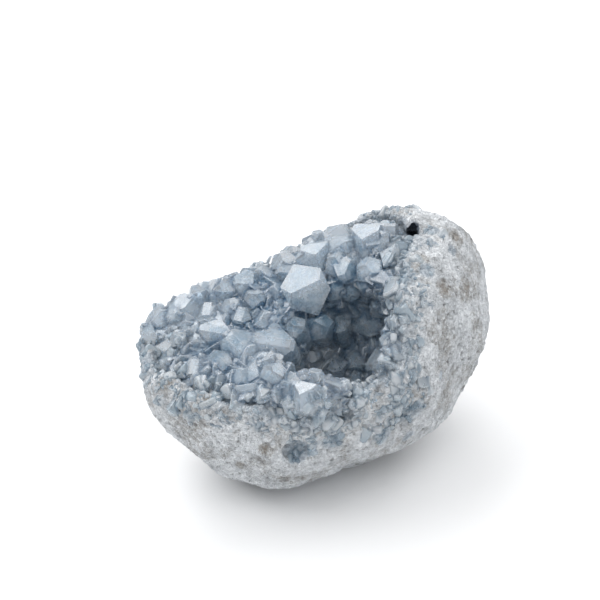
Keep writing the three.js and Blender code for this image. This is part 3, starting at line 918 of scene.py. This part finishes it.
def scatter(kind, count, spot, fits, dice, taken):
    """Places crystals of a kind on random spots that fit, none too close to those taken."""
    common = toward(GROWTH["bearing"], GROWTH["rise"])
    placed = []
    for _ in range(TRIES * count):
        if len(placed) == count:
            break
        point, normal = spot(dice)
        width = kind["smallest"] + (kind["largest"] - kind["smallest"]) * dice.random() ** kind["skew"]
        lean = Vector((dice.uniform(-1, 1), dice.uniform(-1, 1), dice.uniform(-1, 1))) * kind["lean"]
        turn = dice.uniform(0, math.pi)
        habit = dice.randrange(len(HABITS))
        standing = width * dice.uniform(*kind["standing"])
        if not fits(point) or taken.near(point, kind["spacing"] * width):
            continue
        taken.add(point)
        growth = (normal + lean + common).normalized()
        tip = point + growth * standing
        middle, reach = tip - growth * width * 0.8, 1.15 * width
        placed.append((habit, stand(tip, growth, turn, width), middle, reach))
    return placed


def stone_tree(*nodes):
    """A search tree of the faces of one or more solids."""
    points, faces = [], []
    for node in nodes:
        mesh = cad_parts[node].data
        first = len(points)
        points += [v.co.copy() for v in mesh.vertices]
        faces += [[first + i for i in p.vertices] for p in mesh.polygons]
    return BVHTree.FromPolygons(points, faces)


def distances_to(tree, vertices, reach):
    """How far each vertex is from a tree's faces, up to the reach, in metres."""
    found = [tree.find_nearest(v.co, reach)[3] for v in vertices]
    return np.array([reach if distance is None else distance for distance in found])


def band(tree, width, most):
    """A function that falls from its most on a tree's faces by 1 at the width, and is 0 past it."""

    def strength(point):
        distance = tree.find_nearest(point, width)[3]
        return 0.0 if distance is None else most - distance / width

    return strength


def depth_below(tree, point):
    """How deep a point lies inside a closed surface; below 0 outside it."""
    nearest, normal, _, _ = tree.find_nearest(point)
    return (nearest - point).dot(normal)


def join_into(piece, *others):
    select_only(piece)
    for other in others:
        other.select_set(True)
    bpy.ops.object.join()
    return piece


def flatten_foot(piece, height):
    """Cuts the underside flat at the height."""
    select_only(piece)
    bpy.ops.object.mode_set(mode="EDIT")
    bpy.ops.mesh.select_all(action="SELECT")
    bpy.ops.mesh.bisect(plane_co=(0, 0, height), plane_no=(0, 0, 1), use_fill=True, clear_inner=True)
    bpy.ops.object.mode_set(mode="OBJECT")


def patch_strength(patches):
    """A function that says how near the middle of a patch a point is, from 0 at its edge to 1."""
    tree = stone_tree("stone_rind", "crystal_crust")
    middles = []
    for patch in patches:
        way = toward(patch.bearing, patch.rise)
        middles.append((tree.ray_cast(MIDDLE + way * OUTSIDE, -way)[0], patch.radius))
    return lambda point: max(0.0, max(1 - (point - middle).length / radius for middle, radius in middles))


def dent(piece, patch):
    """Pushes a round patch of the surface inwards."""
    strength = patch_strength([patch])
    group = piece.vertex_groups.new(name=patch.name)
    for vertex in piece.data.vertices:
        weight = strength(vertex.co)
        if weight > 0:
            group.add([vertex.index], min(1.6 * weight, 1.0), "REPLACE")
    modifier = piece.modifiers.new(patch.name, "DISPLACE")
    modifier.strength = -patch.depth
    modifier.mid_level = 0
    modifier.vertex_group = group.name
    apply_modifiers(piece)


def closeness(point, place):
    """How close to the middle of a place a point is, from 0 at the end of its reach to 1."""
    return max(0.0, 1 - (point - place["middle"]).length / place["reach"])


def open_pit(piece):
    """Takes the pit, an uneven ball, out of a piece."""
    bpy.ops.object.select_all(action="DESELECT")
    middle, radii = PIT["middle"], PIT["radii"]
    bpy.ops.mesh.primitive_ico_sphere_add(subdivisions=3, radius=1, location=middle, scale=radii)
    ball = bpy.context.object
    bpy.ops.object.transform_apply(location=True, rotation=True, scale=True)
    displace(ball, clouds("pit", 3 * MM), 1.2 * MM)
    modifier = piece.modifiers.new("pit", "BOOLEAN")
    modifier.operation = "DIFFERENCE"
    modifier.solver = "MANIFOLD"
    modifier.object = ball
    apply_modifiers(piece)
    bpy.data.objects.remove(ball)
    put_in_order(piece)


def swell(piece, distance):
    """Moves a piece's surface outwards, or inwards below 0."""
    modifier = piece.modifiers.new("swell", "DISPLACE")
    modifier.strength = distance
    modifier.mid_level = 0
    apply_modifiers(piece)


def uncovered_tree(node, cover, least_gap):
    """A search tree of a solid's faces that the other solid doesn't lie close over."""
    solid = merged_copy(node, "copy")
    ground = Surface(solid, stone_tree(cover), least_gap)
    bpy.data.objects.remove(solid)
    return triangles_tree([corner for face, _ in ground.faces for corner in face[:3]])


def open_crust_tree():
    """The crust's faces that line the hollow and its mouth."""
    return uncovered_tree("crystal_crust", "stone_rind", COVER_OVER_CRUST)


def open_rind_tree():
    """The rind's outside and its broken edge."""
    return uncovered_tree("stone_rind", "crystal_crust", COVER_OVER_RIND)


def plain_values(look, *names):
    """Properties of a group as plain values."""
    values = {name: getattr(look, name) for name in names}
    return {name: tuple(value) if hasattr(value, "__len__") else value for name, value in values.items()}


def settle(piece, material, slot, *nodes):
    """Gives a finished piece its material, hides the solids that it replaces, and hangs it on the stone's
    body so that it moves with the stone.
    """
    piece.data.materials.clear()
    piece.data.materials.append(material)
    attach(piece, "root")
    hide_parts(*nodes)


def edges_tree(piece, angle, inner=False):
    """A search tree of the piece's outer or inner edges, each as a very thin triangle."""
    select_only(piece)
    bpy.ops.object.mode_set(mode="EDIT")
    mesh = bmesh.from_edit_mesh(piece.data)
    corners = []
    for edge in mesh.edges:
        bend = edge.calc_face_angle_signed(0) if len(edge.link_faces) == 2 else 0
        if (-bend if inner else bend) > angle and edge.calc_length() > 0.5 * MM:
            a, b = (v.co.copy() for v in edge.verts)
            corners += [a, b, (a + b) / 2 + Vector((0.01, 0.02, 0.015)) * MM]
    bpy.ops.object.mode_set(mode="OBJECT")
    return triangles_tree(corners)


def regions_of(piece, belong_together):
    """For each face, the number of the region it is in. A bend that says so joins two faces."""
    select_only(piece)
    bpy.ops.object.mode_set(mode="EDIT")
    mesh = bmesh.from_edit_mesh(piece.data)
    mesh.faces.ensure_lookup_table()
    regions = [None] * len(mesh.faces)
    count = 0
    for start in mesh.faces:
        if regions[start.index] is not None:
            continue
        regions[start.index] = count
        found = [start]
        while found:
            for edge in found.pop().edges:
                if len(edge.link_faces) != 2 or not belong_together(edge.calc_face_angle_signed(0)):
                    continue
                for face in edge.link_faces:
                    if regions[face.index] is None:
                        regions[face.index] = count
                        found.append(face)
        count += 1
    bpy.ops.object.mode_set(mode="OBJECT")
    return regions


def random_tones(piece, name, seed, belong_together):
    """Gives each region a random tone of its own."""
    regions = regions_of(piece, belong_together)
    dice = random.Random(seed)
    tones = [dice.random() for _ in range(max(regions) + 1)]
    attribute = piece.data.attributes.new(name, "FLOAT", "CORNER")
    counts = [len(p.vertices) for p in piece.data.polygons]
    values = np.asarray([tones[region] for region in regions], np.float32)
    attribute.data.foreach_set("value", np.repeat(values, counts))


def low_ground(piece):
    """The faces between the large crystals: the widest region within creases."""
    regions = regions_of(piece, lambda bend: bend > LOW_GROUND)
    areas = {}
    for region, face in zip(regions, piece.data.polygons):
        areas[region] = areas.get(region, 0) + face.area
    widest = max(areas, key=areas.get)
    return {index for index, region in enumerate(regions) if region == widest}


def even_out(piece, longest, hidden):
    """Divides long edges, so that a colour can change across a face, except on hidden parts."""
    select_only(piece)
    bpy.ops.object.mode_set(mode="EDIT")
    bpy.ops.mesh.select_mode(type="EDGE")
    bpy.ops.mesh.select_all(action="SELECT")
    bpy.ops.mesh.quads_convert_to_tris()
    for _ in range(5):
        mesh = bmesh.from_edit_mesh(piece.data)
        bpy.ops.mesh.select_all(action="DESELECT")
        found = 0
        for edge in mesh.edges:
            a, b = edge.verts
            if edge.calc_length() > longest and not hidden((a.co + b.co) / 2, a.normal):
                edge.select_set(True)
                found += 1
        if not found:
            break
        bmesh.update_edit_mesh(piece.data)
        bpy.ops.mesh.subdivide(number_cuts=1)
        bpy.ops.mesh.select_all(action="SELECT")
        bpy.ops.mesh.quads_convert_to_tris()
    bpy.ops.object.mode_set(mode="OBJECT")
    put_in_order(piece)


class GEODE_OT_rock(bpy.types.Operator):
    """Models the granular rock, with the milky roots of the crystals grown into it"""

    bl_idname = "geode.rock"
    bl_label = "Rock and roots"

    def execute(self, context):
        look = context.scene.geode_rock
        rock = merged_copy("stone_rind", "granular_rock")
        swell(rock, -THIN / 2)
        remesh(rock, look.voxel)
        swell(rock, THIN / 2)
        join_into(rock, self.roots(context.scene.geode_crystals.milky_depth))
        remesh(rock, look.voxel)
        wear_round(rock, look.wear)
        open_tree = open_crust_tree()
        self.roughen(rock, look, open_rind_tree(), open_tree)
        open_pit(rock)
        flatten_foot(rock, 0.02 * MM)

        crust_tree = stone_tree("crystal_crust")
        reach = 14 * MM
        float_attribute(rock, "cavity", cavities(rock, 6) / MM)
        float_attribute(rock, "from_crystals", distances_to(open_tree, rock.data.vertices, reach) / reach)
        measured(rock, "below_crystals", lambda point: depth_below(crust_tree, point) / MM)
        # Closeness to the pit, for its painted shade.
        measured(rock, "pit", lambda point: closeness(point, PIT))
        measured(rock, "blue_patch", patch_strength(BLUE_PATCHES))
        measured(rock, "stain", patch_strength(STAINS))
        select_only(rock)
        bpy.ops.object.shade_smooth()
        shades = plain_values(look, "pale", "powder", "drab", "dark", "brown")
        surface = rock_material(shades, bpy.data.node_groups["mineral grain"])
        settle(rock, surface, "rind_stone", "stone_rind")
        return {"FINISHED"}

    def roots(self, depth):
        """The milky crystal under the clear layer: the whole stone, less that depth all round."""
        grown, coarse = 0.4 * MM, 0.9 * MM
        roots = join_into(merged_copy("stone_rind", "roots"), merged_copy("crystal_crust", "crust_copy"))
        swell(roots, grown)
        remesh(roots, coarse)
        eroded(roots, depth + grown, coarse)
        return roots

    def roughen(self, rock, look, lip_tree, open_tree):
        """Bulges the rim and presses in the dents, then adds lumps, grains, pits and grit."""
        vertices = rock.data.vertices
        spread = 6 * MM
        from_lip, from_crust = (distances_to(tree, vertices, spread) for tree in (lip_tree, open_tree))
        weights = np.clip(1.3 * (1 - np.maximum(from_lip, from_crust) / spread), 0, 1)
        rim = rock.vertex_groups.new(name="rim")
        for vertex, weight in zip(vertices, weights):
            if weight > 0:
                rim.add([vertex.index], float(weight), "REPLACE")
        displace(rock, clouds("rim lumps", 3.5 * MM), look.rim, 0.3, rim.name)
        for patch in DENTS:
            dent(rock, patch)
        displace(rock, clouds("lumps", 9 * MM), look.lumps)
        displace(rock, cells("grains", 2.2 * MM), -look.grains, 0.45)
        displace(rock, pits("pits", 1.4 * MM), -look.pits, 0)
        displace(rock, clouds("grit", 1.2 * MM, 1), look.grit)


class GEODE_OT_crystals(bpy.types.Operator):
    """Models the clear crystals: the large ones of the solids, with others grown between them"""

    bl_idname = "geode.crystals"
    bl_label = "Clear crystals"

    def execute(self, context):
        look = context.scene.geode_crystals
        crystals = merged_copy("crystal_crust", "celestite_crystals")
        form = merged_copy("crystal_crust", "general_form")
        remesh(form, 1.6 * MM)
        wear_round(form, 14)
        form_tree = surface_tree(form)
        bpy.data.objects.remove(form)
        rind_tree = stone_tree("stone_rind")
        self.grow(crystals, look, rind_tree)
        open_pit(crystals)
        edges = edges_tree(crystals, SHARP_EDGE)
        gaps = edges_tree(crystals, CREVICE, inner=True)

        def hidden(point, normal):
            in_rind = depth_below(rind_tree, point) > -0.2 * MM
            return in_rind or rind_tree.ray_cast(point, normal, 2.5 * MM)[0] is not None

        even_out(crystals, 0.95 * MM, hidden)
        vertices = crystals.data.vertices
        reach = 16 * MM
        # Distances to the sharp edges and to the crevices, for the painted highlight and the painted shade
        # there.
        float_attribute(crystals, "from_edge", distances_to(edges, vertices, 3 * MM) / MM)
        float_attribute(crystals, "from_gap", distances_to(gaps, vertices, 4 * MM) / MM)
        float_attribute(crystals, "from_rock", distances_to(open_rind_tree(), vertices, reach) / reach)
        # Height above the worn form and closeness to the deep hollow, for painted light and shade on the
        # crystals.
        measured(crystals, "height", lambda point: -depth_below(form_tree, point) / MM)
        measured(crystals, "inside", lambda point: closeness(point, PAINTED_LIGHT_IN_HOLLOW))
        # Closeness to the pit, for its painted shade.
        measured(crystals, "pit", lambda point: closeness(point, PIT))
        measured(crystals, "frost", patch_strength(FROST))
        random_tones(crystals, "tone", look.seed, lambda bend: bend > SAME_CRYSTAL)
        random_tones(crystals, "face_tone", look.seed, lambda bend: abs(bend) < SAME_PLANE)
        select_only(crystals)
        bpy.ops.object.shade_flat()
        shades = plain_values(look, "pale", "deep", "frost", "absorbed", "density")
        clear = clear_material(shades, bpy.data.node_groups["crystal faces"])
        settle(crystals, clear, "celestite", "crystal_crust")
        return {"FINISHED"}

    def grow(self, crystals, look, rind_tree):
        """Grows medium crystals on the low ground, then small ones in the crevices."""
        dice = random.Random(look.seed)
        habits = all_habits(1.0, 0.035)
        lip_tree = open_rind_tree()

        def off_the_far_rim(point):
            return point.y < 5 * MM or lip_tree.find_nearest(point, 7 * MM)[0] is None

        ground = Surface(crystals, rind_tree, COVER_OVER_CRUST, low_ground(crystals))
        taken = Grid(MEDIUM["largest"])
        placed = scatter(MEDIUM, look.medium, ground.spot, off_the_far_rim, dice, taken)
        grow_on(crystals, apart(placed), habits)
        crevices = edges_tree(crystals, CREVICE, inner=True)

        def in_crevice(point):
            return crevices.find_nearest(point, 1.2 * MM)[0] is not None

        ground = Surface(crystals, rind_tree, COVER_OVER_CRUST)
        taken = Grid(SMALL["largest"])
        placed = scatter(SMALL, look.small, ground.spot, in_crevice, dice, taken)
        grow_on(crystals, apart(placed), habits)
        remove(habits)


class GEODE_OT_frosted(bpy.types.Operator):
    """Models the pale frosted crystals between the rock and the clear crystals"""

    bl_idname = "geode.frosted"
    bl_label = "Frosted crystals"

    def execute(self, context):
        look = context.scene.geode_crystals
        dice = random.Random(look.seed + 1)
        spots, weights = self.ground()
        totals = list(itertools.accumulate(weights))

        def spot(dice):
            return dice.choices(spots, cum_weights=totals)[0]

        habits = all_habits(0.6, 0.08)
        cell = 4.5 * MM
        placed = scatter(FROSTED, look.frosted, spot, lambda point: True, dice, Grid(cell))
        first, *rest = apart(placed)
        frosted = joined(first, habits, "frosted_crystals")
        frosted.name = "frosted_crystals"
        grow_on(frosted, rest, habits)
        remove(habits)

        gaps = edges_tree(frosted, FROSTED_CREVICE, inner=True)
        # Distance to the crevices, for the painted shade there.
        float_attribute(frosted, "from_gap", distances_to(gaps, frosted.data.vertices, 3 * MM) / MM)
        random_tones(frosted, "tone", look.seed, lambda bend: bend > SAME_CRYSTAL)
        measured(frosted, "blue_patch", patch_strength(BLUE_PATCHES))
        select_only(frosted)
        bpy.ops.object.shade_flat()
        surface = frosted_material(bpy.data.node_groups["mineral grain"])
        settle(frosted, surface, "celestite", "crystal_crust")
        return {"FINISHED"}

    def ground(self):
        """The spots that frosted crystals can stand on and how often each is drawn: rock near the
        crystals or in a patch, and clear crystals near the rock or in a crusted spot."""
        rind_tree = stone_tree("stone_rind")
        on_rock = band(open_crust_tree(), BAND_ON_ROCK, 1.2)
        on_crystals = band(open_rind_tree(), BAND_ON_CRYSTALS, 1.05)
        in_patch, crusted = patch_strength(FROSTED_PATCHES), patch_strength(CRUSTED)
        crystals = bpy.data.objects["celestite_crystals"]
        clear_tree = surface_tree(crystals)
        spots, weights = [], []
        for face in bpy.data.objects["granular_rock"].data.polygons:
            middle = face.center
            wanted = max(in_patch(middle) * 1.6, on_rock(middle))
            wanted *= 1 + 1.3 * noise.noise(middle / FROSTED_PATCH)
            if wanted <= 0 or closeness(middle, PIT) > 0 or depth_below(clear_tree, middle) > 0:
                continue
            spots.append((middle.copy(), face.normal.copy()))
            weights.append(3 * face.area * min(wanted, 1.0) ** 1.5)
        for face in crystals.data.polygons:
            middle = face.center
            wanted = max(crusted(middle), on_crystals(middle))
            if wanted <= 0 or closeness(middle, PIT) > 0 or is_covered(face, rind_tree, COVER_OVER_CRUST):
                continue
            spots.append((middle.copy(), face.normal.copy()))
            weights.append(face.area * wanted)
        return spots, weights


# Soft lights: the way from the stone to each, their distance and width in metres, and their power.
LIGHTS = (
    {"name": "left window", "bearing": 150, "rise": 52, "distance": 0.9, "size": 0.7, "watts": 2.8},
    {"name": "back window", "bearing": 85, "rise": 50, "distance": 0.9, "size": 0.7, "watts": 2.7},
    {"name": "right window", "bearing": 0, "rise": 45, "distance": 0.9, "size": 0.6, "watts": 1.5},
    {"name": "front softbox", "bearing": 235, "rise": 58, "distance": 0.9, "size": 0.6, "watts": 1.2},
    {"name": "front fill", "bearing": 300, "rise": 25, "distance": 1.2, "size": 0.9, "watts": 0.5},
)


def add_lights():
    """The lamps round the stone, and a sky that is brighter overhead."""
    for light in LIGHTS:
        data = bpy.data.lights.new(light["name"], "AREA")
        data.shape = "DISK"
        data.size = light["size"]
        data.energy = light["watts"]
        lamp = bpy.data.objects.new(light["name"], data)
        bpy.context.scene.collection.objects.link(lamp)
        away = toward(light["bearing"], light["rise"])
        lamp.location = away * light["distance"]
        lamp.rotation_euler = away.to_track_quat("Z", "Y").to_euler()
    world = bpy.data.worlds.new("soft studio")
    bpy.context.scene.world = world
    world.use_nodes = True
    shader = Shader("", world.node_tree)
    world.node_tree.nodes.clear()
    sky = shader.node("ShaderNodeBackground")
    place = shader.node("ShaderNodeTexCoord")
    split = shader.node("ShaderNodeSeparateXYZ")
    shader.join(place.outputs["Generated"], split.inputs[0])
    glow = shader.ramp(split.outputs["Z"], -0.1, 0.9)
    shader.join(shader.mix(glow, (0.75, 0.80, 0.86), (1.0, 1.0, 1.0)), sky.inputs["Color"])
    sky.inputs["Strength"].default_value = 0.93
    out = shader.node("ShaderNodeOutputWorld")
    shader.join(sky.outputs[0], out.inputs["Surface"])
    bpy.context.scene.view_settings.view_transform = "Standard"


# The sensor's width in mm, the picture's in pixels, and where in it, from its middle, the aim is seen.
SENSOR = 36
PICTURE = 600
AIM = Vector((-1.6, 0.9, 40.0)) * MM
AIM_RIGHT, AIM_DOWN = 20, 51


def add_camera(look):
    """The camera, placed as the one that took the picture of the stone."""
    turn, rise = math.radians(look.azimuth), math.radians(look.elevation)
    back = Vector((math.sin(turn) * math.cos(rise), -math.cos(turn) * math.cos(rise), math.sin(rise)))
    right = Vector((math.cos(turn), math.sin(turn), 0))
    up = back.cross(right)
    pixel = look.distance * SENSOR / (look.lens * PICTURE)
    target = AIM - right * AIM_RIGHT * pixel + up * AIM_DOWN * pixel
    data = bpy.data.cameras.new("camera")
    data.sensor_width = SENSOR
    data.lens = look.lens
    data.clip_start = 0.01
    camera = bpy.data.objects.new("camera", data)
    bpy.context.scene.collection.objects.link(camera)
    axes = Matrix((right, up, back)).transposed().to_4x4()
    camera.matrix_world = Matrix.Translation(target + back * look.distance) @ axes
    bpy.context.scene.camera = camera


class GEODE_OT_stage(bpy.types.Operator):
    """Sets the floor, the soft lights and the camera"""

    bl_idname = "geode.stage"
    bl_label = "Stage"

    def execute(self, context):
        look = context.scene.geode_stage
        bpy.ops.object.select_all(action="DESELECT")
        bpy.ops.mesh.primitive_circle_add(vertices=96, radius=4.0, fill_type="NGON", location=(0, 0, 0))
        floor = context.object
        floor.name = "floor"
        shader = Shader("pale floor")
        shade, duller = tuple(look.floor), tuple(0.985 * part for part in look.floor)
        shader.finish(Base_Color=shader.mix(shader.noise(0.25, 2.0), shade, duller), Roughness=0.7)
        floor.data.materials.append(shader.material)
        add_lights()
        add_camera(look)
        return {"FINISHED"}


class GEODE_PT_panel(bpy.types.Panel):
    """Lists the geode's pieces"""

    bl_idname = "GEODE_PT_panel"
    bl_label = "Celestite geode"
    bl_space_type = "VIEW_3D"
    bl_region_type = "UI"
    bl_category = "Geode"

    def draw(self, context):
        for operator in OPERATORS:
            self.layout.operator(operator.bl_idname)
        for group in ("geode_rock", "geode_crystals", "geode_stage"):
            settings = getattr(context.scene, group)
            box = self.layout.box()
            for name in settings.__annotations__:
                box.prop(settings, name)


OPERATORS = (GEODE_OT_rock, GEODE_OT_crystals, GEODE_OT_frosted, GEODE_OT_stage)
CLASSES = (GEODE_PG_rock, GEODE_PG_crystals, GEODE_PG_stage, *OPERATORS, GEODE_PT_panel)


def register():
    for item in CLASSES:
        bpy.utils.register_class(item)
    bpy.types.Scene.geode_rock = PointerProperty(type=GEODE_PG_rock)
    bpy.types.Scene.geode_crystals = PointerProperty(type=GEODE_PG_crystals)
    bpy.types.Scene.geode_stage = PointerProperty(type=GEODE_PG_stage)


def unregister():
    del bpy.types.Scene.geode_rock
    del bpy.types.Scene.geode_crystals
    del bpy.types.Scene.geode_stage
    for item in reversed(CLASSES):
        bpy.utils.unregister_class(item)


def main():
    register()
    mineral_grain_group()
    crystal_face_group()
    bpy.ops.geode.stage()
    bpy.ops.geode.rock()
    bpy.ops.geode.crystals()
    bpy.ops.geode.frosted()


if __name__ == "__main__":
    main()
